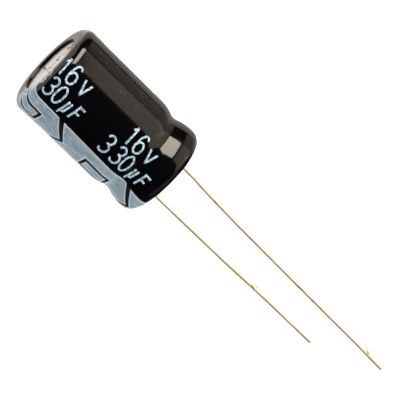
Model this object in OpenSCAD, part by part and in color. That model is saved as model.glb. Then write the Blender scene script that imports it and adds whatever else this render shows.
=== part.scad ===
// Radial-lead aluminium electrolytic capacitor, with its wound element inside.
// The origin is the centre of the seating plane, where the sleeved case meets a board.
// +Z runs up the case. The positive lead is at +X and the negative lead, under the
// sleeve's polarity stripe, is at -X. All sizes are in millimetres.

/* [Case] */
// Overall height of the sleeved case, without the leads
case_h = 12.92; // [10.5:0.02:20]
// Outside diameter of the bare aluminium can
can_d = 8.0; // [6.6:0.1:12]
// Thickness of the can's wall and top
can_wall = 0.28; // [0.2:0.01:0.35]
// Outside radius where the can's top turns into its side
top_round = 0.69; // [0.5:0.01:1]
// Outside radius of the can's rolled-in mouth
curl_round = 0.77; // [0.6:0.01:0.9]
// How far round the mouth is rolled, from straight down
curl_turn = 110; // [90:1:115]

/* [Groove] */
// Height of the sealing groove's waist above the seating plane
groove_z = 2.79; // [2.7:0.01:3.4]
// Depth of the groove, measured in from the can's side
groove_depth = 0.315; // [0.15:0.005:0.4]
// Half of the groove's length along the case
groove_half = 1.7; // [1.2:0.05:1.75]
// Radius of the waist at the bottom of the groove
waist_round = 1.4; // [0.6:0.05:1.7]

/* [Vent] */
// Depth of the scored lines in the can's top
score_depth = 0.12; // [0.05:0.01:0.15]
// Direction of the leg of the T, turned from +X
score_turn = -30; // [-180:5:180]
// Reach of the leg from the middle of the top
leg_reach = 2.35; // [1.5:0.05:2.5]
// Length of the bar across the leg's end
bar_len = 4.4; // [2:0.1:5]
// How far the bar lies past the middle of the top
bar_back = 0.55; // [0:0.05:1]

/* [Sleeve] */
// Thickness of the heat-shrunk sleeve
sleeve_wall = 0.11; // [0.08:0.01:0.2]
// Thickness of the sleeve where it gathers over the can's top
sleeve_rim = 0.24; // [0.12:0.01:0.4]
// How far the sleeve turns in over the can's top, from the sleeve's side
sleeve_top_lip = 1.5; // [1:0.05:2]
// Flat width of the sleeve's turned-in foot
sleeve_foot_lip = 0.28; // [0.1:0.01:0.4]

/* [Leads] */
// Distance between the two leads' centres
lead_pitch = 3.5; // [2.8:0.1:4.2]
// Diameter of each lead wire
lead_d = 0.5; // [0.4:0.05:0.6]
// Length of the positive lead below the seating plane
positive_len = 24.8; // [5:0.1:35]
// Length of the negative lead below the seating plane
negative_len = 18.2; // [5:0.1:35]

/* [Seal] */
// Height of the rubber seal
seal_h = 3.85; // [3.4:0.05:4.7]
// Clearance between the seal and what it is pressed against
seal_fit = 0.02; // [0.01:0.01:0.05]

/* [Tabs] */
// Diameter of a tab's round stem, which passes through the seal
stem_d = 1.4; // [1:0.05:1.6]
// How far the weld between stem and wire lies inside the seal
weld_recess = 0.1; // [0.05:0.05:0.3]
// Thickness of a tab's flattened blade
blade_t = 0.25; // [0.15:0.01:0.3]
// Width of a tab's flattened blade
blade_w = 1.6; // [1:0.1:1.9]
// Distance that the blade stops short of the winding's top
blade_short = 2.2; // [1:0.1:3]

/* [Winding] */
// Radius of the winding's empty core
core_r = 0.75; // [0.6:0.05:1]
// Thickness of the etched anode foil
anode_t = 0.1; // [0.08:0.01:0.14]
// Thickness of the cathode foil
cathode_t = 0.06; // [0.05:0.01:0.1]
// Thickness of each separator paper
separator_t = 0.06; // [0.05:0.01:0.1]
// Thickness of the tape that closes the winding
tape_t = 0.06; // [0.05:0.01:0.1]
// Clearance between one layer and the next
wind_gap = 0.015; // [0.012:0.001:0.03]
// Space between the winding and the can's wall
wall_space = 0.12; // [0.08:0.01:0.3]
// Space between the seal and the winding
seal_space = 0.35; // [0.25:0.05:0.8]
// Space between the winding and the can's top
top_space = 0.45; // [0.2:0.05:1]
// How far the separators stand past the foils at each end
foil_margin = 0.3; // [0.1:0.05:0.6]
// How far the closing tape stops short of the winding at each end
tape_margin = 0.8; // [0.3:0.1:1.5]

/* [Hidden] */
$fn = 96;

// Points along each rounded stretch of an outline
round_steps = 10;
// The case, from its foot up
can_r = can_d / 2;
sleeve_fit = 0.02;
sleeve_out = sleeve_fit + sleeve_wall;
can_foot = sleeve_out;
can_top = case_h - sleeve_fit - sleeve_rim;
// The groove is a waist arc between two shoulder arcs, all tangent
groove_turn = 2 * atan(groove_depth / groove_half);
shoulder_round = groove_half / sin(groove_turn) - waist_round;
// The seal fills the can from the end of the rolled mouth upwards
seal_in = -can_wall - seal_fit;
curl_z = can_foot + curl_round;
seal_foot = curl_z - (curl_round + seal_in) * sin(curl_turn);
seal_top = seal_foot + seal_h;
weld_z = seal_foot + weld_recess;
// A stem stands a little out of the seal, so that the blade joins it in the open
stem_r = stem_d / 2;
stem_top = seal_top + 0.25;
blade_foot = seal_top + 0.05;
stem_nose_r = lead_d / 2 + 0.1;
stem_bevel = 0.15;
// The winding's height, and the height of the foils and the tape inside it
wind_foot = seal_top + seal_space;
wind_top = can_top - can_wall - top_space;

// Degrees from one point of a winding's layer to the next
wind_step = 10;
// Points on each half of a blade's curve
blade_steps = 3;
// Where each layer starts within one turn, from the inside out
inner_paper_at = anode_t + wind_gap;
cathode_at = inner_paper_at + separator_t + wind_gap;
outer_paper_at = cathode_at + cathode_t + wind_gap;
turn_pitch = outer_paper_at + separator_t + wind_gap;
// The papers are wound first and cut last, and the tape holds down their end
wind_room = can_r - can_wall - wall_space - (blade_t + wind_gap) - tape_t - turn_pitch - core_r;
wind_end = floor(360 * wind_room / turn_pitch / wind_step) * wind_step;
anode_from = 70;
anode_to = wind_end - 270;
cathode_from = 40;
cathode_to = wind_end - 150;
tape_from = wind_end - 330;
tape_to = wind_end + 10;
// The turn whose foil passes nearest to each stem, as an angle from the winding's start
positive_turn = tab_turn(0, inner_paper_at);
negative_turn = tab_turn(180, outer_paper_at);
// The layers over a blade are lifted across its width and ease down beside it
lift_flat = ceil(asin(blade_w / lead_pitch) / wind_step + 0.5) * wind_step;
lift_ease = 30;

// Points of an arc, from step first to step last of round_steps
function arc(centre_x, centre_y, radius, from, to, first = 0, last = round_steps) = [
    for (i = [first:last])
        let (a = from + (to - from) * i / round_steps)
        [centre_x + radius * cos(a), centre_y + radius * sin(a)]
];

function reversed(points) = [for (i = [len(points) - 1:-1:0]) points[i]];

// The case's side as [radius, height], out from the can's own surface by out,
// from the edge of the top down to the mouth, which is rolled in by turn degrees.
// The edge of the top lies higher by rim where a face has more than its thickness there
function side(out, turn, rim = 0) = concat(
    arc(can_r - top_round, can_top - top_round + rim, top_round + out, 90, 0),
    arc(can_r - shoulder_round, groove_z + groove_half, shoulder_round + out,
        0, -groove_turn, last = round_steps - 1),
    arc(can_r - groove_depth + waist_round, groove_z, waist_round - out,
        180 - groove_turn, 180 + groove_turn),
    arc(can_r - shoulder_round, groove_z - groove_half, shoulder_round + out,
        groove_turn, 0, first = 1),
    arc(can_r - curl_round, curl_z, curl_round + out, 0, -turn));

// The sleeve's outline on one face: its top lip, its side and its foot
function sleeve_face(out, rim = 0) = concat(
    [[can_r + sleeve_out - sleeve_top_lip, can_top + out + rim]],
    side(out, 90, rim),
    [[can_r - curl_round - sleeve_foot_lip, can_foot - out]]);

// Plain radius of the winding at an angle counted from its start
function spiral(angle) = core_r + turn_pitch * angle / 360;

// The angle, on the side of the case that bearing gives, where a blade on a layer's
// face comes nearest to its stem
function tab_turn(bearing, at) = bearing + 360 * round(
    (lead_pitch / 2 - at - blade_t / 2 - spiral(bearing)) / turn_pitch);

// From 1 over a blade to 0 well beside it
function ease(away) =
    away <= lift_flat ? 1 :
    away >= lift_flat + lift_ease ? 0 :
    (1 + cos(180 * (away - lift_flat) / lift_ease)) / 2;

// How far a blade lifts what lies at an angle and a layer offset: only what is wound over it
function lift(angle, at, blade_turn, blade_at) =
    let (
        pass = blade_turn + 360 * round((angle - blade_turn) / 360),
        over = spiral(pass) + at > spiral(blade_turn) + blade_at - wind_gap / 2
    )
    over ? (blade_t + wind_gap) * ease(abs(angle - pass)) : 0;

// A point of the winding at an angle and a layer offset
function wound(angle, at) =
    let (
        r = spiral(angle) + at + lift(angle, at, positive_turn, inner_paper_at)
            + lift(angle, at, negative_turn, outer_paper_at)
    )
    [r * cos(angle), r * sin(angle)];

// A layer's outline, out along its inner face and back along its outer one
function layer(from, to, at, thickness) = concat(
    [for (a = [from:wind_step:to]) wound(a, at)],
    [for (a = [to:-wind_step:from]) wound(a, at + thickness)]);

// A blade's outline: a curved strip that lies on its foil, with both faces along the layers
function blade(turn, at) =
    let (
        half = asin(blade_w / 2 / (spiral(turn) + at)),
        angles = [for (i = [-blade_steps:blade_steps]) turn + half * i / blade_steps]
    )
    concat(
        [for (a = angles) (spiral(a) + at) * [cos(a), sin(a)]],
        [for (a = reversed(angles)) (spiral(a) + at + blade_t) * [cos(a), sin(a)]]);

// A V-shaped scored line in the can's top, along X from one place to another
module score(from, to) {
    side = score_depth * sqrt(2);
    translate([from, 0, can_top])
        rotate([45, 0, 0])
            translate([0, -side / 2, -side / 2])
                cube([to - from, side, side]);
}

// One layer of the winding, standing between two heights
module wound_layer(from, to, at, thickness, foot, top) {
    translate([0, 0, foot])
        linear_extrude(height = top - foot)
            polygon(layer(from, to, at, thickness));
}

module lead(x, length) {
    translate([x, 0, -length])
        cylinder(d = lead_d, h = length + weld_z);
}

// A tab: the stem in the seal and the blade that lies on its foil, in one piece
module tab(x, turn, at) {
    translate([x, 0, 0])
        rotate_extrude()
            polygon([
                [0, weld_z],
                [stem_nose_r, weld_z],
                [stem_r, weld_z + stem_r - stem_nose_r],
                [stem_r, stem_top - stem_bevel],
                [stem_r - stem_bevel, stem_top],
                [0, stem_top]
            ]);
    translate([0, 0, blade_foot])
        linear_extrude(height = wind_top - blade_short - blade_foot)
            polygon(blade(turn, at));
}

module can() {
    color([0.86, 0.85, 0.82])
        difference() {
            rotate_extrude()
                polygon(concat(
                    [[0, can_top]],
                    side(0, curl_turn),
                    reversed(side(-can_wall, curl_turn)),
                    [[0, can_top - can_wall]]));
            rotate([0, 0, score_turn]) {
                score(-bar_back, leg_reach);
                translate([-bar_back, 0, 0])
                    rotate([0, 0, 90])
                        score(-bar_len / 2, bar_len / 2);
            }
        }
}

module sleeve() {
    color([0.05, 0.05, 0.06])
        rotate_extrude()
            polygon(concat(
                sleeve_face(sleeve_out, sleeve_rim - sleeve_wall),
                reversed(sleeve_face(sleeve_fit))));
}

module seal() {
    color([0.12, 0.12, 0.12])
        difference() {
            intersection() {
                rotate_extrude()
                    polygon(concat(
                        [[0, can_top]],
                        side(seal_in, curl_turn),
                        [[0, seal_foot]]));
                translate([0, 0, seal_foot])
                    cylinder(r = can_r, h = seal_h);
            }
            for (x = [-lead_pitch / 2, lead_pitch / 2])
                translate([x, 0, seal_foot - 1])
                    cylinder(r = stem_r + seal_fit, h = seal_h + 2);
        }
}

module positive_lead() {
    color([0.83, 0.79, 0.7])
        lead(lead_pitch / 2, positive_len);
}

module negative_lead() {
    color([0.83, 0.79, 0.7])
        lead(-lead_pitch / 2, negative_len);
}

module positive_tab() {
    color([0.8, 0.8, 0.82])
        tab(lead_pitch / 2, positive_turn, inner_paper_at);
}

module negative_tab() {
    color([0.8, 0.8, 0.82])
        tab(-lead_pitch / 2, negative_turn, outer_paper_at);
}

module anode_foil() {
    color([0.62, 0.63, 0.65])
        wound_layer(anode_from, anode_to, 0, anode_t,
            wind_foot + foil_margin, wind_top - foil_margin);
}

module inner_separator() {
    color([0.85, 0.78, 0.62])
        wound_layer(0, wind_end, inner_paper_at, separator_t, wind_foot, wind_top);
}

module cathode_foil() {
    color([0.72, 0.73, 0.75])
        wound_layer(cathode_from, cathode_to, cathode_at, cathode_t,
            wind_foot + foil_margin, wind_top - foil_margin);
}

module outer_separator() {
    color([0.85, 0.78, 0.62])
        wound_layer(0, wind_end, outer_paper_at, separator_t, wind_foot, wind_top);
}

module closing_tape() {
    color([0.9, 0.86, 0.7])
        wound_layer(tape_from, tape_to, turn_pitch, tape_t,
            wind_foot + tape_margin, wind_top - tape_margin);
}

can();
sleeve();
seal();
positive_lead();
negative_lead();
positive_tab();
negative_tab();
anode_foil();
inner_separator();
cathode_foil();
outer_separator();
closing_tape();
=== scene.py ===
"""Looks of a radial aluminium electrolytic capacitor: its printed sleeve, its leads and its metals.

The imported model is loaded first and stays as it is. Sizes are metres, in the model's own frame:
+Z runs up the case, the seating plane is at 0 and the leads hang below it, side by side along X.
A bearing is an angle round the case, in degrees, from the middle of its printed face.
"""

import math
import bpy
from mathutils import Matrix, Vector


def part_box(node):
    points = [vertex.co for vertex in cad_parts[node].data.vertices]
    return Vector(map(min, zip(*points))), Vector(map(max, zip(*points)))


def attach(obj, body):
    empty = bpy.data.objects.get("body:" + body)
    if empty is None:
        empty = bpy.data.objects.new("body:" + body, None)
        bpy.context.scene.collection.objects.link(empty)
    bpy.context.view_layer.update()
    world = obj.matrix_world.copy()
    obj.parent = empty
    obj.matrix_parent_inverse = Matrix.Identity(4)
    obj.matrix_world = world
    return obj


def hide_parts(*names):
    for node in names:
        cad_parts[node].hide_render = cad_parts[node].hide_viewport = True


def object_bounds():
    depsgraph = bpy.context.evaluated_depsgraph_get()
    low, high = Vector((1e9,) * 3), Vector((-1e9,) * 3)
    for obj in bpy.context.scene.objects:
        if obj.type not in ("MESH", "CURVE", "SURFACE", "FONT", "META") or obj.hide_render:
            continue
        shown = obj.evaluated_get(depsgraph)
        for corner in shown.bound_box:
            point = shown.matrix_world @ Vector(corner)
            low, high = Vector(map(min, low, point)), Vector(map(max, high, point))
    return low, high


bl_info = {
    "name": "Electrolytic capacitor",
    "version": (1, 0, 0),
    "blender": (4, 5, 0),
    "location": "3D View > Sidebar > Capacitor",
    "description": "Builds the sleeve, print, leads and finishes of a radial capacitor",
    "category": "Add Mesh",
}

import bpy
from bpy.props import FloatProperty, IntProperty, PointerProperty, StringProperty
from mathutils import Quaternion, Vector
from mathutils.kdtree import KDTree

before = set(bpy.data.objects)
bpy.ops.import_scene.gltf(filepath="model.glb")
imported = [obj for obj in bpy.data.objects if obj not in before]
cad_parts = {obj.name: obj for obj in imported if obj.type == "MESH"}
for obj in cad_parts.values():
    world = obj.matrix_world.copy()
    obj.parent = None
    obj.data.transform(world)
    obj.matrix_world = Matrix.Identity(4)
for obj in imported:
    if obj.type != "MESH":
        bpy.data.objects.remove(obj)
cad_low, cad_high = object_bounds()

MM = 0.001
BODY = "root"
PRINT_MAP = "print_place"

sleeve_low, sleeve_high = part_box("sleeve")
positive_low, positive_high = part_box("positive_lead")
negative_low, negative_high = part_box("negative_lead")

# How far the lettering stands proud of the film, and how much lower the film is made for it, so
# that rounding never takes the lettering past the case's height
INK = 0.012 * MM
ROOM_FOR_INK = 1.1 * INK

# The lettering's whole thickness, as a share of how far it stands proud. The rest is sunk in the
# film
INK_DEPTH = 4 / 3

# Points closer than this are one point, and edges sharper than this angle, in degrees, stay crisp
MERGE = 0.001 * MM
CREASE = 40

# The angle from +X, in degrees, at which the printed face lies
FACE_TURN = -120


# ---------------------------------------------------------------- sizes and colours


class SleeveSizes(bpy.types.PropertyGroup):
    """Sizes and colour of the heat-shrunk sleeve."""

    height: FloatProperty(
        name="Height", description="Overall height of the sleeved case",
        default=sleeve_high.z - sleeve_low.z - ROOM_FOR_INK, unit="LENGTH", precision=5)
    radius: FloatProperty(
        name="Radius", description="Outside radius of the sleeve's straight side",
        default=sleeve_high.x, unit="LENGTH", precision=5)
    wall: FloatProperty(
        name="Wall", description="Thickness of the film on the side",
        default=0.11 * MM, unit="LENGTH", precision=5)
    rim: FloatProperty(
        name="Rim", description="Thickness of the film where it gathers over the can's top",
        default=0.24 * MM, unit="LENGTH", precision=5)
    opening: FloatProperty(
        name="Opening", description="Radius of the opening over the can's top",
        default=2.63 * MM, unit="LENGTH", precision=5)
    top_round: FloatProperty(
        name="Top rounding", description="Outside radius of the top edge",
        default=0.82 * MM, unit="LENGTH", precision=5)
    foot_round: FloatProperty(
        name="Foot rounding", description="Outside radius of the bottom edge",
        default=0.9 * MM, unit="LENGTH", precision=5)
    foot_lip: FloatProperty(
        name="Foot lip", description="Flat width of the turned-in foot",
        default=0.28 * MM, unit="LENGTH", precision=5)
    waist_height: FloatProperty(
        name="Waist height", description="Height of the groove's waist",
        default=2.79 * MM, unit="LENGTH", precision=5)
    waist_depth: FloatProperty(
        name="Waist depth", description="Depth of the groove",
        default=0.315 * MM, unit="LENGTH", precision=5)
    waist_half: FloatProperty(
        name="Waist half length", description="Half of the groove's length along the case",
        default=1.7 * MM, unit="LENGTH", precision=5)
    waist_round: FloatProperty(
        name="Waist rounding",
        description="Radius of the film's outside at the bottom of the groove",
        default=1.27 * MM, unit="LENGTH", precision=5)
    ragged: FloatProperty(
        name="Ragged lip", description="How much the lip over the can's top wanders",
        default=0.12 * MM, unit="LENGTH", precision=5)
    steps: IntProperty(
        name="Steps", description="Faces round the sleeve", default=192, min=24)
    colour: StringProperty(
        name="Colour", description="Colour of the film, as sRGB hex", default="#040406")


class PrintSizes(bpy.types.PropertyGroup):
    """Layout and colours of the print on the sleeve."""

    repeat: FloatProperty(
        name="Repeat", description="Distance at which the print repeats along the film",
        default=7.57 * MM, unit="LENGTH", precision=5)
    figure_height: FloatProperty(
        name="Figure height", description="Height of the figures",
        default=1.8 * MM, unit="LENGTH", precision=5)
    stroke: FloatProperty(
        name="Stroke", description="Width of the lettering's strokes",
        default=0.17 * MM, unit="LENGTH", precision=5)
    skew: FloatProperty(
        name="Skew", description="Turn of the print round the case for each millimetre along it",
        default=math.radians(-0.46), unit="ROTATION")
    stripe_turn: FloatProperty(
        name="Stripe turn",
        description="Where the stripe's middle lies, from the middle of the face",
        default=math.radians(-60.7), unit="ROTATION")
    stripe_half: FloatProperty(
        name="Stripe half width", description="Half of the polarity stripe's width",
        default=1.845 * MM, unit="LENGTH", precision=5)
    lift: FloatProperty(
        name="Ink lift", description="How far the lettering stands proud of the film",
        default=INK, unit="LENGTH", precision=6)
    # Both stripe ink colours are partly painted shade: the lettering's ink, made darker for the
    # stripe's less lit side of the case
    pale: StringProperty(
        name="Pale ink", description="Colour of the ink where it lies thick, as sRGB hex",
        default="#8797A4")
    deep: StringProperty(
        name="Deep ink", description="Colour of the ink where the film shows through, as sRGB hex",
        default="#52616F")


class LeadSizes(bpy.types.PropertyGroup):
    """Sizes and colour of the wire leads."""

    radius: FloatProperty(
        name="Wire radius", description="Radius of each lead wire",
        default=(positive_high.x - positive_low.x) / 2, unit="LENGTH", precision=5)
    colour: StringProperty(
        name="Colour", description="Colour of the tinned wire, as sRGB hex", default="#ECE3D2")


class StageSizes(bpy.types.PropertyGroup):
    """Camera, floor and light."""

    azimuth: FloatProperty(
        name="Azimuth", description="Direction of the camera round the case",
        default=math.radians(-30), unit="ROTATION")
    elevation: FloatProperty(
        name="Elevation", description="Height of the camera, as seen from the case's top",
        default=math.radians(10), unit="ROTATION")
    roll: FloatProperty(
        name="Roll",
        description="How far the upright case leans to the left in the view",
        default=math.radians(45.65), unit="ROTATION")
    distance: FloatProperty(
        name="Distance", description="Distance of the camera from the case's top",
        default=190 * MM, unit="LENGTH")
    view_width: FloatProperty(
        name="View width", description="Width of the view at the case",
        default=31.35 * MM, unit="LENGTH")
    aim_height: FloatProperty(
        name="Aim height", description="Height of the middle of the view",
        default=-3.49 * MM, unit="LENGTH", precision=5)
    aim_side: FloatProperty(
        name="Aim side", description="Middle of the view, to the right of the case's axis",
        default=0.6 * MM, unit="LENGTH", precision=5)
    light_distance: FloatProperty(
        name="Light distance", description="Distance of the light panels from the case",
        default=180 * MM, unit="LENGTH")
    floor_size: FloatProperty(
        name="Floor size", description="Width of the paper floor", default=3.0, unit="LENGTH")
    floor_colour: StringProperty(
        name="Floor colour", description="Colour of the paper floor, as sRGB hex",
        default="#FCFCFA")


# ---------------------------------------------------------------- modelling helpers


def deselect():
    """Leaves object mode with nothing selected."""
    if bpy.context.object and bpy.context.object.mode != "OBJECT":
        bpy.ops.object.mode_set(mode="OBJECT")
    bpy.ops.object.select_all(action="DESELECT")


def choose(*pieces):
    """Selects these pieces alone, with the first one active."""
    deselect()
    for piece in pieces:
        piece.select_set(True)
    bpy.context.view_layer.objects.active = pieces[0]


def smooth(piece):
    """Shades a piece smooth, with its sharp edges left crisp."""
    choose(piece)
    bpy.ops.object.shade_smooth_by_angle(angle=math.radians(CREASE))


def apply_modifier(piece, kind, **settings):
    """Adds a modifier to a piece and applies it."""
    choose(piece)
    modifier = piece.modifiers.new(kind.title(), kind)
    for key, value in settings.items():
        setattr(modifier, key, value)
    bpy.ops.object.modifier_apply(modifier=modifier.name)


def finish_piece(piece, name, material):
    """Names a piece, gives it its finish and sets it riding on the capacitor."""
    piece.name = name
    piece.data.name = name
    piece.data.materials.clear()
    piece.data.materials.append(material)
    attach(piece, BODY)


def arc(centre, radius, start, end, steps):
    """Points of an arc round a (radius, height) centre, from one angle in degrees to another."""
    angles = [math.radians(start + (end - start) * i / steps) for i in range(steps + 1)]
    return [(centre[0] + radius * math.cos(a), centre[1] + radius * math.sin(a)) for a in angles]


# Steps of each arc on the film's outer and inner face, and of the edges of its foot and lip
OUTER_STEPS = 20
INNER_STEPS = 8
FOOT_STEPS = 6
LIP_STEPS = 10


def sleeve_face(sizes, depth, steps):
    """The film's outline at a depth under its outer face, as (radius, height), from lip to foot."""
    sunk = depth * sizes.rim / sizes.wall
    turn = 2 * math.degrees(math.atan(sizes.waist_depth / sizes.waist_half))
    shoulder = sizes.waist_half / math.sin(math.radians(turn)) - sizes.waist_round
    shoulder_at = sizes.radius - shoulder
    foot_at = sizes.radius - sizes.foot_round
    top = (sizes.radius - sizes.top_round, sizes.height - sizes.top_round - sunk + depth)
    upper = (shoulder_at, sizes.waist_height + sizes.waist_half)
    waist = (sizes.radius - sizes.waist_depth + sizes.waist_round, sizes.waist_height)
    lower = (shoulder_at, sizes.waist_height - sizes.waist_half)
    points = [(sizes.opening + sizes.rim / 2, sizes.height - sunk)]
    points += arc(top, sizes.top_round - depth, 90, 0, steps)
    points += arc(upper, shoulder - depth, 0, -turn, steps)
    points += arc(waist, sizes.waist_round + depth, 180 - turn, 180 + turn, steps)[1:-1]
    points += arc(lower, shoulder - depth, turn, 0, steps)
    points += arc((foot_at, sizes.foot_round), sizes.foot_round - depth, 0, -90, steps)
    points += [(foot_at - sizes.foot_lip + sizes.wall / 2, depth)]
    return points


def sleeve_outline(sizes):
    """The film's whole cross-section, and how many of its points are on the outer face.

    It runs down the outer face, round the edge of the foot, up the inner face and round the lip.
    """
    outer = sleeve_face(sizes, 0, OUTER_STEPS)
    inner = sleeve_face(sizes, sizes.wall, INNER_STEPS)
    edge = (outer[-1][0], sizes.wall / 2)
    foot = arc(edge, sizes.wall / 2, 270, 90, FOOT_STEPS)[1:-1]
    edge = (outer[0][0], sizes.height - sizes.rim / 2)
    lip = arc(edge, sizes.rim / 2, 270, 90, LIP_STEPS)[1:-1]
    return outer + foot + inner[::-1] + lip, len(outer)


class Film:
    """The sleeve's face as a place to print on.

    A distance along it is counted down the film, and on the straight side it is the distance under
    the case's top.
    """

    def __init__(self, sizes):
        points, self.outer = sleeve_outline(sizes)
        self.points = [Vector(p) for p in points]
        steps = [(b - a).length for a, b in zip(self.points, self.points[1:] + self.points[:1])]
        side = next(i for i, p in enumerate(self.points) if p.x > sizes.radius - sizes.wall / 1000)
        start = sizes.height - self.points[side].y - sum(steps[:side])
        self.along = [start + sum(steps[:i]) for i in range(len(steps))]
        self.round = sum(steps)
        self.radius = sizes.radius
        self.tree = KDTree(len(points))
        for i, point in enumerate(points):
            self.tree.insert((*point, 0), i)
        self.tree.balance()

    def place(self, along, turn, lift):
        """The point that lies over the film, at a distance along it and an angle round from +X."""
        at = next((i for i in range(1, self.outer) if self.along[i] >= along), self.outer - 1)
        a, b = self.points[at - 1], self.points[at]
        share = (along - self.along[at - 1]) / (self.along[at] - self.along[at - 1])
        run = (b - a).normalized()
        radius, height = a.lerp(b, share) + Vector((-run.y, run.x)) * lift
        return Vector((radius * math.cos(turn), radius * math.sin(turn), height))

    def along_at(self, point):
        """How far along the film a point of its mesh lies."""
        return self.along[self.tree.find((math.hypot(point.x, point.y), point.z, 0))[1]]


def near(value, reference, period):
    """The value that is whole periods from value and nearest to reference."""
    return value + period * round((reference - value) / period)


def write_print_map(piece, film):
    """Stores each face corner's place on the print, in millimetres along and round the film."""
    mesh = piece.data
    uv = mesh.uv_layers.new(name=PRINT_MAP)
    along = [film.along_at(v.co) for v in mesh.vertices]
    turn = [math.atan2(v.co.y, v.co.x) - math.radians(FACE_TURN) for v in mesh.vertices]
    for face in mesh.polygons:
        middle = math.atan2(face.center.y, face.center.x) - math.radians(FACE_TURN)
        middle = near(middle, 0, math.tau)
        first = along[mesh.loops[face.loop_start].vertex_index]
        for loop in face.loop_indices:
            vertex = mesh.loops[loop].vertex_index
            uv.uv[loop].vector = (
                near(along[vertex], first, film.round) / MM,
                near(turn[vertex], middle, math.tau) * film.radius / MM)


# ---------------------------------------------------------------- materials


def linear(code):
    """An sRGB hex colour as linear red, green, blue and alpha."""
    values = [int(code[i:i + 2], 16) / 255 for i in (1, 3, 5)]
    colour = [v / 12.92 if v <= 0.04045 else ((v + 0.055) / 1.055) ** 2.4 for v in values]
    return (*colour, 1.0)


def add(tree, kind, inputs, **settings):
    """Adds a shader node with its settings, and its inputs: each a value, a socket or a node."""
    made = tree.nodes.new("ShaderNode" + kind)
    for key, value in settings.items():
        setattr(made, key, value)
    for key, value in inputs.items():
        socket = made.inputs[key] if isinstance(key, int) else next(
            s for s in made.inputs if s.name == key and s.enabled)
        if isinstance(value, bpy.types.Node):
            value = next(s for s in value.outputs if s.enabled)
        if isinstance(value, bpy.types.NodeSocket):
            tree.links.new(value, socket)
        else:
            socket.default_value = value
    return made


def start_material(name, colour, roughness, metallic=0.0, ior=1.5):
    """A surface with its shader, and the piece's own coordinates in millimetres."""
    made = bpy.data.materials.new(name)
    made.use_nodes = True
    made.diffuse_color = linear(colour)
    tree = made.node_tree
    shader = next(n for n in tree.nodes if n.type == "BSDF_PRINCIPLED")
    shader.inputs["Base Color"].default_value = linear(colour)
    shader.inputs["Roughness"].default_value = roughness
    shader.inputs["Metallic"].default_value = metallic
    shader.inputs["IOR"].default_value = ior
    place = add(tree, "TexCoord", {}).outputs["Object"]
    place = add(tree, "Mapping", {"Vector": place, "Scale": (1 / MM,) * 3})
    return made, tree, shader, place


def connect(tree, node, shader, name):
    """Links a node's result to one of the shader's sockets."""
    tree.links.new(next(s for s in node.outputs if s.enabled), shader.inputs[name])


# The signs of the stripe, in millimetres: along the film from where a repeat of the print begins to
# count, and out from the stripe's middle. A chevron's edge has its place on the middle line and how
# fast it slants; the minus sign is an outlined rectangle
REPEAT_START = -1.9
CHEVRON_FRONT = (4.78, -0.71)
CHEVRON_BACK = (4.4, -0.81)
MINUS_MIDDLE = 0.58
MINUS_HALF_LENGTH = 1.35
MINUS_HALF_WIDTH = 0.75
MINUS_LINE = 0.28

# How far the stripe's edges wander, and how softly the print ends, in millimetres
WANDER = 0.07
FADE = 0.015


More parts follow.
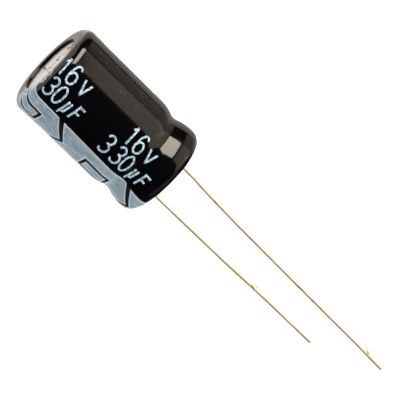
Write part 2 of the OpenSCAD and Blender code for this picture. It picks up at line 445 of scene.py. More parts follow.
def printed_film(sizes, layout):
    """The sleeve's finish, with the polarity stripe and its signs."""
    # PVC film, heat-shrunk and printed: a black skin so glossy that it shows sharp reflections,
    # which waver a little where it has drawn tight, and a pale ink that is drier than the film
    made, tree, shader, place = start_material(
        "PVC_film_heat_shrunk", sizes.colour, 0.07, ior=1.53)
    spot = add(tree, "UVMap", {}, uv_map=PRINT_MAP)
    parts = add(tree, "SeparateXYZ", {"Vector": spot})
    along, across = parts.outputs["X"], parts.outputs["Y"]

    # How far the place lies from the middle of the stripe, which runs askew round the case
    middle = add(tree, "Math", {
        0: along, 1: layout.skew * sizes.radius / MM, 2: layout.stripe_turn * sizes.radius / MM},
        operation="MULTIPLY_ADD")
    beside = add(tree, "Math", {0: across, 1: middle}, operation="SUBTRACT")
    beside = add(tree, "Math", {0: beside}, operation="ABSOLUTE")

    # Where the place lies within one repeat of the signs
    phase = add(tree, "Math", {0: along, 1: -REPEAT_START})
    phase = add(tree, "Math", {
        0: phase, 1: layout.repeat / MM}, operation="FLOORED_MODULO")
    phase = add(tree, "Math", {0: phase, 1: REPEAT_START})

    # The stripe's edges are a little ragged every 0.25 mm, as a printing screen leaves them
    ragged = add(tree, "TexNoise", {
        "W": along, "Scale": 4.0, "Detail": 1}, noise_dimensions="1D")
    edge = add(tree, "Math", {
        0: ragged, 1: WANDER, 2: beside}, operation="MULTIPLY_ADD")
    half = layout.stripe_half / MM + WANDER / 2
    stripe = add(tree, "MapRange", {
        "Value": edge, "From Min": half + FADE, "From Max": half - FADE})

    # The chevron is bare film between two slanting edges that meet at a point
    front = add(tree, "Math", {
        0: beside, 1: CHEVRON_FRONT[1], 2: CHEVRON_FRONT[0]}, operation="MULTIPLY_ADD")
    front = add(tree, "Math", {0: front, 1: phase}, operation="SUBTRACT")
    back = add(tree, "Math", {
        0: beside, 1: -CHEVRON_BACK[1], 2: -CHEVRON_BACK[0]}, operation="MULTIPLY_ADD")
    back = add(tree, "Math", {0: back, 1: phase})
    chevron = add(tree, "Math", {0: front, 1: back}, operation="MINIMUM")

    # The minus sign is a rectangle's outline in bare film
    end = add(tree, "Math", {0: phase, 1: MINUS_MIDDLE}, operation="SUBTRACT")
    end = add(tree, "Math", {0: end}, operation="ABSOLUTE")
    end = add(tree, "Math", {0: end, 1: MINUS_HALF_LENGTH}, operation="SUBTRACT")
    side = add(tree, "Math", {0: beside, 1: MINUS_HALF_WIDTH}, operation="SUBTRACT")
    outside = add(tree, "Math", {0: end, 1: side}, operation="MAXIMUM")
    within = add(tree, "Math", {0: outside, 1: MINUS_LINE})
    inside = add(tree, "Math", {0: outside, 1: -1.0}, operation="MULTIPLY")
    minus = add(tree, "Math", {0: within, 1: inside}, operation="MINIMUM")

    gap = add(tree, "Math", {0: chevron, 1: minus}, operation="MAXIMUM")
    bare = add(tree, "MapRange", {"Value": gap, "From Min": FADE, "From Max": -FADE})
    inked = add(tree, "Math", {0: stripe, 1: bare}, operation="MULTIPLY")

    # The ink is drawn out along the film in wavy streaks, about 0.9 mm long and 0.24 mm wide, with
    # pinholes that are drawn 0.1 mm across, so that they show
    drawn = add(tree, "Mapping", {"Vector": spot, "Scale": (0.8, 3.0, 1)})
    drawn = add(tree, "TexNoise", {
        "Vector": drawn, "Scale": 1.4, "Detail": 6, "Roughness": 0.76, "Distortion": 1.0})
    drawn = add(tree, "MapRange", {"Value": drawn, "From Min": 0.36, "From Max": 0.62})
    # Partly painted shade: these ink colours are darker than the lettering's, the same ink, for the
    # stripe's less lit side
    ink = add(tree, "Mix", {
        "Factor": drawn, "A": linear(layout.deep), "B": linear(layout.pale)}, data_type="RGBA")
    holes = add(tree, "TexVoronoi", {"Vector": spot, "Scale": 1.6})
    holes = add(tree, "MapRange", {
        "Value": holes, "From Min": 0.15, "From Max": 0.06, "To Max": 0.8})
    ink = add(tree, "Mix", {
        "Factor": holes, "A": ink, "B": linear("#3A444E")}, data_type="RGBA")

    # It banks up over the last 0.16 mm before its edges, and is palest there
    rim = add(tree, "Math", {0: edge, 1: half}, operation="SUBTRACT")
    rim = add(tree, "Math", {0: rim, 1: gap}, operation="MAXIMUM")
    rim = add(tree, "MapRange", {
        "Value": rim, "From Min": -0.16, "From Max": -0.06, "To Max": 0.55})
    ink = add(tree, "Mix", {
        "Factor": rim, "A": ink, "B": linear("#B4C4CF")}, data_type="RGBA")

    # Painted reflection: pale specks on one side of the film, drawn about 0.06 mm wide, so that they
    # show
    painted_glints = add(tree, "TexVoronoi", {"Vector": place, "Scale": 2.6})
    painted_glints = add(tree, "MapRange", {
        "Value": painted_glints, "From Min": 0.12, "From Max": 0.06, "To Max": 0.3})
    upper = add(tree, "MapRange", {"Value": across, "From Min": 0.9, "From Max": 1.8})
    painted_glints = add(tree, "Math", {0: painted_glints, 1: upper}, operation="MULTIPLY")
    film = add(tree, "Mix", {
        "Factor": painted_glints, "A": linear(sizes.colour), "B": linear("#8E887C")}, data_type="RGBA")
    colour = add(tree, "Mix", {"Factor": inked, "A": film, "B": ink}, data_type="RGBA")
    connect(tree, colour, shader, "Base Color")

    # Handling leaves the gloss a little uneven, in patches 1.4 mm across
    haze = add(tree, "TexNoise", {"Vector": place, "Scale": 0.7, "Detail": 3})
    haze = add(tree, "MapRange", {
        "Value": haze, "From Min": 0.3, "From Max": 0.7, "To Min": 0.06, "To Max": 0.13})
    gloss = add(tree, "Mix", {"Factor": inked, "A": haze, "B": 0.34}, data_type="FLOAT")
    connect(tree, gloss, shader, "Roughness")

    # Waves 2.2 mm long where the film has drawn tight, and its skin, which is drawn 0.2 mm coarse
    waves = add(tree, "TexNoise", {"Vector": place, "Scale": 0.45, "Detail": 1})
    waves = add(tree, "Bump", {"Height": waves, "Distance": 0.007 * MM})
    skin = add(tree, "TexNoise", {"Vector": place, "Scale": 5.0, "Detail": 2})
    skin = add(tree, "Bump", {"Height": skin, "Distance": 0.0016 * MM, "Normal": waves})
    layer = add(tree, "Bump", {"Height": inked, "Distance": 0.0015 * MM, "Normal": skin})
    connect(tree, layer, shader, "Normal")
    return made


def lettering_ink(layout):
    """The finish of the raised lettering."""
    # Vinyl ink, screen-printed: a dry, pale blue layer, patchy where the black shows through it, in
    # patches 0.17 mm across
    made, tree, shader, _ = start_material("vinyl_ink_screen_printed", layout.pale, 0.38)
    spot = add(tree, "UVMap", {}, uv_map=PRINT_MAP)
    patches = add(tree, "TexNoise", {
        "Vector": spot, "Scale": 6.0, "Detail": 3, "Roughness": 0.6})
    patches = add(tree, "MapRange", {
        "Value": patches, "From Min": 0.6, "From Max": 0.4})
    ink = add(tree, "Mix", {
        "Factor": patches, "A": linear("#506D83"), "B": linear("#ABC1CD")}, data_type="RGBA")
    connect(tree, ink, shader, "Base Color")
    rough = add(tree, "Bump", {"Height": patches, "Distance": 0.003 * MM})
    connect(tree, rough, shader, "Normal")
    return made


def tinned_wire(sizes):
    """The finish of both leads."""
    # Tinned copper-clad steel, drawn: a warm white metal, bright but soft-edged, with faint draw
    # lines along the wire, drawn 0.11 mm apart so that they show, and dull nicks 0.4 mm wide and
    # 1.1 mm long from the forming jaws
    made, tree, shader, place = start_material(
        "tinned_steel_wire_drawn", sizes.colour, 0.26, metallic=1.0)
    lines = add(tree, "Mapping", {"Vector": place, "Scale": (9, 9, 0.5)})
    lines = add(tree, "TexNoise", {"Vector": lines, "Scale": 1.0, "Detail": 3})
    tone = add(tree, "MapRange", {"Value": lines, "From Min": 0.3, "From Max": 0.7})
    colour = add(tree, "Mix", {
        "Factor": tone, "A": linear("#D4C4A4"), "B": linear(sizes.colour)}, data_type="RGBA")
    nicks = add(tree, "Mapping", {"Vector": place, "Scale": (2.6, 2.6, 0.9)})
    nicks = add(tree, "TexNoise", {"Vector": nicks, "Scale": 1.0, "Detail": 4})
    nicks = add(tree, "MapRange", {"Value": nicks, "From Min": 0.6, "From Max": 0.72})
    colour = add(tree, "Mix", {
        "Factor": nicks, "A": colour, "B": linear("#8C8069")}, data_type="RGBA")
    connect(tree, colour, shader, "Base Color")
    rough = add(tree, "MapRange", {
        "Value": lines, "From Min": 0.3, "From Max": 0.7, "To Min": 0.16, "To Max": 0.28})
    connect(tree, rough, shader, "Roughness")
    relief = add(tree, "Bump", {"Height": lines, "Distance": 0.004 * MM})
    relief = add(tree, "Bump", {
        "Height": nicks, "Distance": 0.01 * MM, "Normal": relief}, invert=True)
    connect(tree, relief, shader, "Normal")
    return made


def drawn_aluminium():
    """The can's finish."""
    # Aluminium, deep-drawn and washed: a pale satin metal, clouded every millimetre or so, with fine
    # handling scratches, drawn 0.07 mm apart so that they show
    made, tree, shader, place = start_material(
        "aluminium_deep_drawn", "#E6E2DB", 0.34, metallic=1.0)
    grain = add(tree, "Mapping", {
        "Vector": place, "Rotation": (0, 0, math.radians(35)), "Scale": (1.2, 14, 1.2)})
    grain = add(tree, "TexNoise", {"Vector": grain, "Scale": 1.0, "Detail": 4})
    rough = add(tree, "MapRange", {
        "Value": grain, "From Min": 0.3, "From Max": 0.7, "To Min": 0.28, "To Max": 0.46})
    connect(tree, rough, shader, "Roughness")
    cloud = add(tree, "TexNoise", {"Vector": place, "Scale": 1.1, "Detail": 3})
    colour = add(tree, "Mix", {
        "Factor": cloud, "A": linear("#D6D1C8"), "B": linear("#F2EFEA")}, data_type="RGBA")
    relief = add(tree, "Bump", {"Height": grain, "Distance": 0.004 * MM})
    connect(tree, relief, shader, "Normal")

    # Short dark marks side by side, in a row over one half of the top: each is up to 0.25 mm wide
    # and 1 mm long, about 0.4 mm from the next
    row = add(tree, "Mapping", {
        "Vector": place, "Rotation": (0, 0, -math.radians(FACE_TURN + 90))})
    parts = add(tree, "SeparateXYZ", {"Vector": row})
    half = add(tree, "MapRange", {
        "Value": parts.outputs["X"], "From Min": -0.4, "From Max": -0.1})
    band = add(tree, "Math", {0: parts.outputs["Y"]}, operation="ABSOLUTE")
    band = add(tree, "MapRange", {"Value": band, "From Min": 0.7, "From Max": 0.5})
    band = add(tree, "Math", {0: band, 1: half}, operation="MULTIPLY")
    marks = add(tree, "Mapping", {"Vector": row, "Scale": (2.4, 0.6, 1)})
    marks = add(tree, "TexVoronoi", {
        "Vector": marks, "Scale": 1.0}, voronoi_dimensions="2D")
    marks = add(tree, "MapRange", {"Value": marks, "From Min": 0.32, "From Max": 0.22})
    marks = add(tree, "Math", {0: marks, 1: band}, operation="MULTIPLY")
    colour = add(tree, "Mix", {
        "Factor": marks, "A": colour, "B": linear("#6A645B")}, data_type="RGBA")
    connect(tree, colour, shader, "Base Color")
    return made


def moulded_rubber():
    """The seal's finish."""
    # Butyl rubber, moulded: a dull charcoal with a fine grain, drawn 0.11 mm coarse so that it
    # shows, and paler bloom in patches 1.25 mm across
    made, tree, shader, place = start_material("butyl_rubber_moulded", "#1D1C1B", 0.62, ior=1.52)
    bloom = add(tree, "TexNoise", {"Vector": place, "Scale": 0.8, "Detail": 4})
    bloom = add(tree, "MapRange", {"Value": bloom, "From Min": 0.42, "From Max": 0.75})
    colour = add(tree, "Mix", {
        "Factor": bloom, "A": linear("#191817"), "B": linear("#37342F")}, data_type="RGBA")
    connect(tree, colour, shader, "Base Color")
    grain = add(tree, "TexNoise", {"Vector": place, "Scale": 9.0, "Detail": 3})
    relief = add(tree, "Bump", {"Height": grain, "Distance": 0.012 * MM})
    connect(tree, relief, shader, "Normal")
    return made


def strip(name, light, dark, rough, metallic, scale):
    """The finish of a wound strip: two tones, its roughness and its pattern's scale to the mm."""
    made, tree, shader, place = start_material(name, light, rough, metallic)
    pattern = add(tree, "Mapping", {"Vector": place, "Scale": scale})
    pattern = add(tree, "TexNoise", {"Vector": pattern, "Scale": 1.0, "Detail": 4})
    colour = add(tree, "Mix", {
        "Factor": pattern, "A": linear(dark), "B": linear(light)}, data_type="RGBA")
    connect(tree, colour, shader, "Base Color")
    relief = add(tree, "Bump", {"Height": pattern, "Distance": 0.006 * MM})
    connect(tree, relief, shader, "Normal")
    return made


def floor_paper(colour):
    """The floor's finish, which lets a camera under the floor see through it."""
    # Matt white paper: plain and shadowless in an even light
    made, tree, shader, _ = start_material("paper_matt", colour, 0.9)
    shader.inputs["Specular IOR Level"].default_value = 0
    back = add(tree, "NewGeometry", {}).outputs["Backfacing"]
    clear = add(tree, "BsdfTransparent", {})
    both = add(tree, "MixShader", {0: back, 1: shader, 2: clear})
    output = next(n for n in tree.nodes if n.type == "OUTPUT_MATERIAL")
    tree.links.new(both.outputs["Shader"], output.inputs["Surface"])
    return made


# ---------------------------------------------------------------- pieces


class CAPACITOR_OT_sleeve(bpy.types.Operator):
    """Builds the heat-shrunk sleeve with its printed stripe"""

    bl_idname = "capacitor.sleeve"
    bl_label = "Sleeve"

    def execute(self, context):
        sizes = context.scene.capacitor_sleeve
        outline, _ = sleeve_outline(sizes)
        deselect()
        bpy.ops.mesh.primitive_circle_add(vertices=len(outline), radius=sizes.radius)
        piece = context.object
        # The outline stands up in the plane through the back of the case
        back = math.radians(FACE_TURN + 180)
        for vertex, (radius, height) in zip(piece.data.vertices, outline):
            vertex.co = (radius * math.cos(back), radius * math.sin(back), height)
        bpy.ops.object.mode_set(mode="EDIT")
        bpy.ops.mesh.select_all(action="SELECT")
        bpy.ops.mesh.spin(steps=sizes.steps, angle=math.tau, center=(0, 0, 0), axis=(0, 0, 1))
        bpy.ops.mesh.select_all(action="SELECT")
        bpy.ops.mesh.remove_doubles(threshold=MERGE)
        bpy.ops.mesh.normals_make_consistent(inside=False)
        bpy.ops.object.mode_set(mode="OBJECT")
        write_print_map(piece, Film(sizes))

        # Heat leaves the lip over the can's top a little uneven, in waves 1.6 mm long
        lip = piece.vertex_groups.new(name="lip")
        edge = sizes.opening + sizes.rim / 2
        lip.add([v.index for v in piece.data.vertices
                 if v.co.z > sizes.height / 2 and math.hypot(v.co.x, v.co.y) < edge], 1, "REPLACE")
        wander = bpy.data.textures.new("lip_wander", "CLOUDS")
        wander.noise_scale = 1.6 * MM
        wander.noise_depth = 3
        apply_modifier(
            piece, "DISPLACE", texture=wander, texture_coords="GLOBAL", direction="NORMAL",
            strength=sizes.ragged, mid_level=0.5, vertex_group=lip.name)
        piece.vertex_groups.clear()
        for vertex in piece.data.vertices:
            vertex.co.z = min(vertex.co.z, sizes.height)
        smooth(piece)
        finish_piece(piece, "printed_sleeve", printed_film(sizes, context.scene.capacitor_print))
        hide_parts("sleeve")
        return {"FINISHED"}


# The strokes of each letter, in shares of its width and height. A stroke of two points is straight,
# and a longer one is a smooth curve through its points
OVAL = (
    (0.5, 1), (0.1, 0.82), (0, 0.5), (0.1, 0.18), (0.5, 0),
    (0.9, 0.18), (1, 0.5), (0.9, 0.82), (0.5, 1))
STROKES = {
    "0": (OVAL,),
    "1": (
        ((0.85, 0), (0.85, 1)),
        ((0, 0.76), (0.3, 0.82), (0.6, 0.9), (0.78, 1))),
    "3": (
        ((0.04, 0.84), (0.2, 0.96), (0.5, 1), (0.86, 0.9), (0.9, 0.7), (0.66, 0.56), (0.36, 0.54)),
        ((0.36, 0.54), (0.74, 0.5), (1, 0.28), (0.82, 0.07), (0.46, 0), (0.14, 0.04), (0, 0.16))),
    "6": ((
        (0.92, 0.86), (0.72, 0.98), (0.45, 0.99), (0.14, 0.8), (0.02, 0.48), (0.06, 0.16),
        (0.3, 0.01), (0.7, 0.01), (0.98, 0.16), (0.98, 0.42), (0.72, 0.58), (0.3, 0.56),
        (0.04, 0.38)),),
    "V": (
        ((0, 1), (0.5, 0)),
        ((1, 1), (0.5, 0))),
    "F": (
        ((0.05, 0), (0.3, 1)),
        ((0.2, 0.94), (1, 0.94)),
        ((0.16, 0.52), (0.82, 0.52))),
    "µ": (
        ((-0.06, -0.34), (0.36, 1)),
        ((0.12, 0.2), (0.24, 0.02), (0.46, 0.02), (0.7, 0.22)),
        ((0.96, 1), (0.64, 0))),
}

# Each row of the rating: its name, the bearing of its foot, and for each letter its start and end
# along the film in millimetres and its height as a share of a figure's
ROWS = (
    ("voltage", -2.0, (("1", 0.0, 0.47, 1), ("6", 0.85, 1.73, 1), ("V", 2.17, 3.05, 0.77))),
    ("value", -28.3, (
        ("3", -1.08, -0.16, 1), ("3", 0.2, 1.06, 1), ("0", 1.16, 2.02, 1),
        ("µ", 2.3, 2.95, 0.66), ("F", 3.12, 4.0, 0.87))),
)

# How many times the rating stands along the case
REPEATS = 2

# How finely the lettering is cut, along the film and round it, so that it can follow the film
CUT_ALONG = 0.14 * MM
CUT_ROUND = 0.22 * MM


def letter(body, start, end, height, stroke):
    """One flat letter as a mesh, drawn with strokes of one width, with its foot on the X axis."""
    deselect()
    bpy.ops.curve.primitive_bezier_curve_add(enter_editmode=False)
    piece = bpy.context.object
    data = piece.data
    data.splines.clear()
    data.resolution_u = 6
    data.twist_mode = "Z_UP"
    data.extrude = stroke / 2
    for points in STROKES[body]:
        line = data.splines.new("BEZIER")
        line.bezier_points.add(len(points) - 1)
        for point, (across, up) in zip(line.bezier_points, points):
            point.co = (
                start + stroke / 2 + (end - start - stroke) * across,
                stroke / 2 + (height - stroke) * up, 0)
            # Laid over on its side, so that the stroke's width lies in the letter's plane
            point.tilt = math.pi / 2
            point.handle_left_type = "AUTO"
            point.handle_right_type = "AUTO"
    bpy.ops.object.convert(target="MESH")
    return bpy.context.object


def cut_across(axis, low, high, step):
    """Cuts the mesh in hand with even planes across an axis, so that it can bend."""
    normal = Vector((0, 0, 0))
    normal[axis] = 1
    for i in range(1, math.ceil((high - low) / step)):
        bpy.ops.mesh.select_all(action="SELECT")
        bpy.ops.mesh.bisect(plane_co=normal * (low + i * step), plane_no=normal)


class CAPACITOR_OT_lettering(bpy.types.Operator):
    """Prints the rating on the sleeve, twice along the case"""

    bl_idname = "capacitor.lettering"
    bl_label = "Lettering"

    def execute(self, context):
        layout = context.scene.capacitor_print
        film = Film(context.scene.capacitor_sleeve)
        ink = lettering_ink(layout)
        for name, bearing, letters in ROWS:
            choose(*[
                letter(body, start * MM, end * MM, layout.figure_height * share, layout.stroke)
                for body, start, end, share in letters])
            bpy.ops.object.join()
            row = context.object
            bpy.ops.object.mode_set(mode="EDIT")
            cut_across(0, letters[0][1] * MM, letters[-1][2] * MM, CUT_ALONG)
            cut_across(1, 0, layout.figure_height, CUT_ROUND)
            bpy.ops.object.mode_set(mode="OBJECT")
            for repeat in range(REPEATS):
                copy = row.copy()
                copy.data = row.data.copy()
                context.collection.objects.link(copy)
                self.wrap(copy, film, layout, bearing, repeat * layout.repeat)
                apply_modifier(copy, "SOLIDIFY", thickness=layout.lift * INK_DEPTH, offset=-1)
                finish_piece(copy, f"{name}_print_{repeat + 1}", ink)
            bpy.data.objects.remove(row)
        return {"FINISHED"}

    def wrap(self, piece, film, layout, bearing, shift):
        """Lays a flat row on the film, and writes where each corner lies on the print."""
        places = []
        for vertex in piece.data.vertices:
            along = vertex.co.x + shift
            turn = math.radians(bearing) + layout.skew * along / MM + vertex.co.y / film.radius
            places.append((along / MM, turn * film.radius / MM))
            vertex.co = film.place(along, turn + math.radians(FACE_TURN), layout.lift)
        uv = piece.data.uv_layers.new(name=PRINT_MAP)
        for loop in piece.data.loops:
            uv.uv[loop.index].vector = places[loop.vertex_index]


# The bends of each lead: how far it has wandered to the side at each height, and at its end, in
# millimetres
LONG_BENDS = (
    (0.3, 0.0), (-1.0, 0.09), (-4.0, -0.03), (-7.0, -0.12), (-10.0, -0.17),
    (-13.5, -0.21), (-18.0, -0.26), (-21.0, -0.27))
LONG_END = -0.35
SHORT_BENDS = (
    (0.3, 0.0), (-0.8, -0.01), (-4.0, 0.01), (-9.4, 0.08), (-11.3, 0.14), (-15.2, 0.19))
SHORT_END = 0.22

# How much shorter a bent lead is made, in millimetres, so that its slanted end stays within its
# length
CUT_END = 0.02

# Each lead: its name, its node, the corners of the node's box, its bends and its end
LEADS = (
    ("long_wire", "positive_lead", positive_low, positive_high, LONG_BENDS, LONG_END),
    ("short_wire", "negative_lead", negative_low, negative_high, SHORT_BENDS, SHORT_END))


class CAPACITOR_OT_leads(bpy.types.Operator):
    """Builds the two wire leads with their slight bends and cut ends"""

    bl_idname = "capacitor.leads"
    bl_label = "Leads"

    def execute(self, context):
        sizes = context.scene.capacitor_leads
        metal = tinned_wire(sizes)
        # The leads have wandered across the view of the printed face
        turn = math.radians(FACE_TURN + 90)
        side = Vector((math.cos(turn), math.sin(turn), 0))
        for name, node, low, high, bends, end in LEADS:
            root = Vector(((low.x + high.x) / 2, 0, 0))
            route = ((high.z / MM, 0.0), *bends, (low.z / MM + CUT_END, end))
            piece = self.wire([
                root + side * (shift * MM) + Vector((0, 0, height * MM))
                for height, shift in route], sizes)
            smooth(piece)
            finish_piece(piece, name, metal)
            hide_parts(node)
        return {"FINISHED"}

    def wire(self, path, sizes):
        """A round wire along a path."""
        deselect()
        bpy.ops.curve.primitive_bezier_curve_add(enter_editmode=False)
        piece = bpy.context.object
        line = piece.data.splines[0]
        line.bezier_points.add(len(path) - len(line.bezier_points))
        for point, place in zip(line.bezier_points, path):
            point.co = place
            point.handle_left_type = "AUTO"
            point.handle_right_type = "AUTO"
        piece.data.resolution_u = 8
        piece.data.bevel_depth = sizes.radius
        piece.data.bevel_resolution = 6
        piece.data.use_fill_caps = True
        bpy.ops.object.convert(target="MESH")
        piece = bpy.context.object
        bpy.ops.object.mode_set(mode="EDIT")
        bpy.ops.mesh.select_all(action="SELECT")
        bpy.ops.mesh.remove_doubles(threshold=MERGE)
        bpy.ops.mesh.normals_make_consistent(inside=False)
        bpy.ops.object.mode_set(mode="OBJECT")
        return piece


class CAPACITOR_OT_finishes(bpy.types.Operator):
    """Gives the can, the seal and the wound element their finishes"""

    bl_idname = "capacitor.finishes"
    bl_label = "Metals, rubber and papers"

    def execute(self, context):
        # Aluminium strip, pressed: a bright satin metal with a skin 0.4 mm coarse
        tab = strip("aluminium_strip_pressed", "#DAD9D6", "#A9A8A5", 0.3, 1, (2.5, 2.5, 2.5))
        # Aluminium foil, etched: a dead grey metal, pitted all over to hold the electrolyte, with
        # pits drawn 0.14 mm wide so that they show
        etched = strip("aluminium_foil_etched", "#A9ABAD", "#77797C", 0.62, 1, (7, 7, 7))
        # Aluminium foil, rolled: a smoother grey metal, streaked along its length every 0.11 mm
        plain = strip("aluminium_foil_rolled", "#C9CACB", "#9C9EA0", 0.42, 1, (1, 1, 9))
        # Manila paper, soaked: a warm tan with soft fibres, drawn 0.2 mm wide so that they show
        paper = strip("manila_paper_soaked", "#D8C59B", "#B59C6C", 0.5, 0, (5, 5, 1))
        # Polypropylene tape, calendered: a pale amber film with a soft gloss and 0.3 mm streaks
        tape = strip("polypropylene_tape_calendered", "#E2D3A6", "#C8B37D", 0.28, 0, (1, 1, 3))
        for node, material in (
                ("can", drawn_aluminium()), ("seal", moulded_rubber()),
                ("positive_tab", tab), ("negative_tab", tab),
                ("anode_foil", etched), ("cathode_foil", plain),
                ("inner_separator", paper), ("outer_separator", paper), ("closing_tape", tape)):
            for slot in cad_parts[node].material_slots:
                slot.material = material
        return {"FINISHED"}


# The light panels: for each its name, the pieces that it lights, its bearing, its height, how wide
# and how tall it is, all four in degrees as the case sees it, its radiance and its colour
PANELS = (
    # Softboxes to the right of the printed face: the key, and dimmer walls that it stands on
    ("key", "all but wires", 60, 14, 45, 32, 9.0, "#FFF3E0"),
    ("wall", "all but wires", 61, -32, 47, 50, 1.05, "#FFEFD6"),
    ("dim_wall", "all but wires", 102, -32, 34, 50, 0.44, "#FFF2DD"),
    # Reflectors round the back, which draw the edges of the case
    ("right_reflector", "all but wires", 146, 0, 46, 90, 0.6, "#FFF4E2"),
    ("left_reflector", "all but wires", -115, 0, 72, 90, 0.14, "#FFF4E2"),
    ("left_edge", "all but wires", -165, -32, 30, 50, 1.2, "#FFF8F0"),
    # Behind the case: the film's top edge mirrors one panel, and the can's top a whiter one
    ("backdrop", "films", 180, 20, 50, 44, 0.75, "#FFF4E6"),
    ("can_backdrop", "can", 180, 20, 60, 50, 1.0, "#FFFFFF"),
    ("overhead", "all but wires", 180, 73, 70, 40, 1.2, "#FFF6E8"),
    ("underglow", "all but wires", 10, -72, 90, 26, 0.35, "#FFEFD6"),
    # Light from behind on the left, which pales the ink at the case's edge and isn't mirrored
    ("left_glow", "all but wires", -160, -10, 44, 80, 14.0, "#FFFFFF"),
    # A white front for the wires, which would mirror the dark round the camera, between warmer and
    # dimmer sides
    ("wire_front", "wires", 5, 0, 50, 100, 1.9, "#FFFFFF"),
    ("wire_right", "wires", 66, 0, 72, 100, 2.3, "#FFFFFF"),
    ("wire_edge", "wires", 140, 0, 76, 100, 0.45, "#FFEFDA"),
    ("wire_left", "wires", -65, 0, 90, 100, 0.55, "#FFEFD6"),
    ("wire_back", "wires", -146, 0, 72, 100, 0.45, "#FFEFDA"),
    ("wire_below", "wires", 0, -90, 100, 100, 0.6, "#FFF6EA"),
)

# The strength of the even light all round, and how far the floor lies under the longer lead
AMBIENT = 1.05
FLOOR_GAP = 0.05 * MM


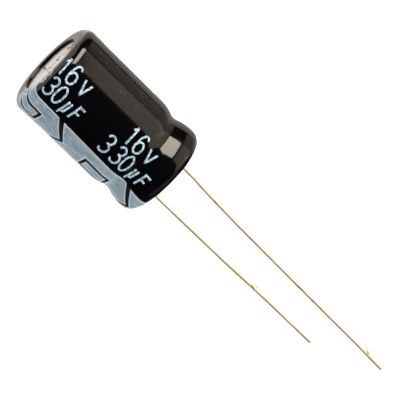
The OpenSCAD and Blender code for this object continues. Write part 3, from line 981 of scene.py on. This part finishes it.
class CAPACITOR_OT_stage(bpy.types.Operator):
    """Sets up the camera, the paper floor and the studio light"""

    bl_idname = "capacitor.stage"
    bl_label = "Stage"

    def execute(self, context):
        scene = context.scene
        sizes = scene.capacitor_stage
        self.camera(scene, sizes)
        self.floor(sizes)
        self.ambient(scene)
        leads = [bpy.data.objects[name] for name, *_ in LEADS]
        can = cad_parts["can"]
        lit = {
            "wires": self.receivers("wires_only", leads, "INCLUDE"),
            "all but wires": self.receivers("all_but_wires", leads, "EXCLUDE"),
            "can": self.receivers("can_only", [can], "INCLUDE"),
            "films": self.receivers("all_but_can_and_wires", [can, *leads], "EXCLUDE")}
        for name, pieces, *rest in PANELS:
            self.panel(name, sizes, lit[pieces], *rest)
        bpy.data.objects["left_glow"].visible_glossy = False
        scene.view_settings.view_transform = "Standard"
        return {"FINISHED"}

    def camera(self, scene, sizes):
        """The camera, rolled so that the case leans across the view."""
        flat = math.cos(sizes.elevation)
        away = Vector((
            math.sin(sizes.azimuth) * flat, -math.cos(sizes.azimuth) * flat,
            math.sin(sizes.elevation)))
        right = Vector((math.cos(sizes.azimuth), math.sin(sizes.azimuth), 0))
        aim = right * sizes.aim_side + Vector((0, 0, sizes.aim_height))
        place = Vector((0, 0, sleeve_high.z)) + away * sizes.distance
        turn = (aim - place).to_track_quat("-Z", "Y") @ Quaternion((0, 0, 1), -sizes.roll)
        deselect()
        bpy.ops.object.camera_add(location=place, rotation=turn.to_euler())
        camera = bpy.context.object
        camera.name = "camera"
        camera.data.lens = camera.data.sensor_width * sizes.distance / sizes.view_width
        camera.data.clip_start = 10 * MM
        scene.camera = camera

    def floor(self, sizes):
        """The paper floor, just under the longer lead, which no gloss mirrors."""
        deselect()
        bpy.ops.mesh.primitive_circle_add(
            vertices=64, radius=sizes.floor_size / 2, fill_type="NGON",
            location=(0, 0, cad_low.z - FLOOR_GAP))
        floor = bpy.context.object
        floor.name = "floor"
        floor.data.materials.append(floor_paper(sizes.floor_colour))
        floor.visible_glossy = False
        floor.visible_shadow = False

    def ambient(self, scene):
        """Even white light all round, which matt surfaces take and glossy ones don't mirror."""
        world = bpy.data.worlds.new("studio")
        scene.world = world
        world.use_nodes = True
        world.cycles_visibility.glossy = False
        background = next(n for n in world.node_tree.nodes if n.type == "BACKGROUND")
        background.inputs["Color"].default_value = (1, 1, 1, 1)
        background.inputs["Strength"].default_value = AMBIENT

    def receivers(self, name, pieces, state):
        """A collection of the pieces that a light works on alone, or leaves out."""
        made = bpy.data.collections.new(name)
        for piece in pieces:
            made.objects.link(piece)
        for entry in made.collection_objects:
            entry.light_linking.link_state = state
        return made

    def panel(self, name, sizes, lit, bearing, height, wide, tall, radiance, colour):
        """A flat light that spans wide by tall degrees, at a bearing and a height in degrees."""
        turn = math.radians(FACE_TURN + bearing)
        rise = math.radians(height)
        away = Vector((
            math.cos(turn) * math.cos(rise), math.sin(turn) * math.cos(rise), math.sin(rise)))
        middle = Vector((0, 0, (sleeve_low.z + sleeve_high.z) / 2))
        deselect()
        bpy.ops.object.light_add(
            type="AREA", location=middle + away * sizes.light_distance,
            rotation=away.to_track_quat("Z", "Y").to_euler())
        light = bpy.context.object
        light.name = name
        light.data.shape = "RECTANGLE"
        light.data.size = 2 * sizes.light_distance * math.tan(math.radians(wide / 2))
        light.data.size_y = 2 * sizes.light_distance * math.tan(math.radians(tall / 2))
        light.data.energy = radiance * math.pi * light.data.size * light.data.size_y
        light.data.color = linear(colour)[:3]
        light.light_linking.receiver_collection = lit


class CAPACITOR_PT_parts(bpy.types.Panel):
    """Lists the capacitor's parts in the sidebar"""

    bl_idname = "CAPACITOR_PT_parts"
    bl_label = "Electrolytic capacitor"
    bl_space_type = "VIEW_3D"
    bl_region_type = "UI"
    bl_category = "Capacitor"

    def draw(self, context):
        for step in STEPS:
            self.layout.operator(step.bl_idname)
        for name, kind in GROUPS.items():
            box = self.layout.box()
            for key in kind.__annotations__:
                box.prop(getattr(context.scene, name), key)


# The sizes that a user may change, by their name on the scene, and the steps in order
GROUPS = {
    "capacitor_sleeve": SleeveSizes,
    "capacitor_print": PrintSizes,
    "capacitor_leads": LeadSizes,
    "capacitor_stage": StageSizes,
}
STEPS = (
    CAPACITOR_OT_sleeve, CAPACITOR_OT_lettering, CAPACITOR_OT_leads, CAPACITOR_OT_finishes,
    CAPACITOR_OT_stage)


def register():
    for kind in (*GROUPS.values(), *STEPS, CAPACITOR_PT_parts):
        bpy.utils.register_class(kind)
    for name, kind in GROUPS.items():
        setattr(bpy.types.Scene, name, PointerProperty(type=kind))


def unregister():
    for name in GROUPS:
        delattr(bpy.types.Scene, name)
    for kind in reversed((*GROUPS.values(), *STEPS, CAPACITOR_PT_parts)):
        bpy.utils.unregister_class(kind)


def main():
    register()
    bpy.ops.capacitor.sleeve()
    bpy.ops.capacitor.lettering()
    bpy.ops.capacitor.leads()
    bpy.ops.capacitor.finishes()
    bpy.ops.capacitor.stage()


if __name__ == "__main__":
    main()
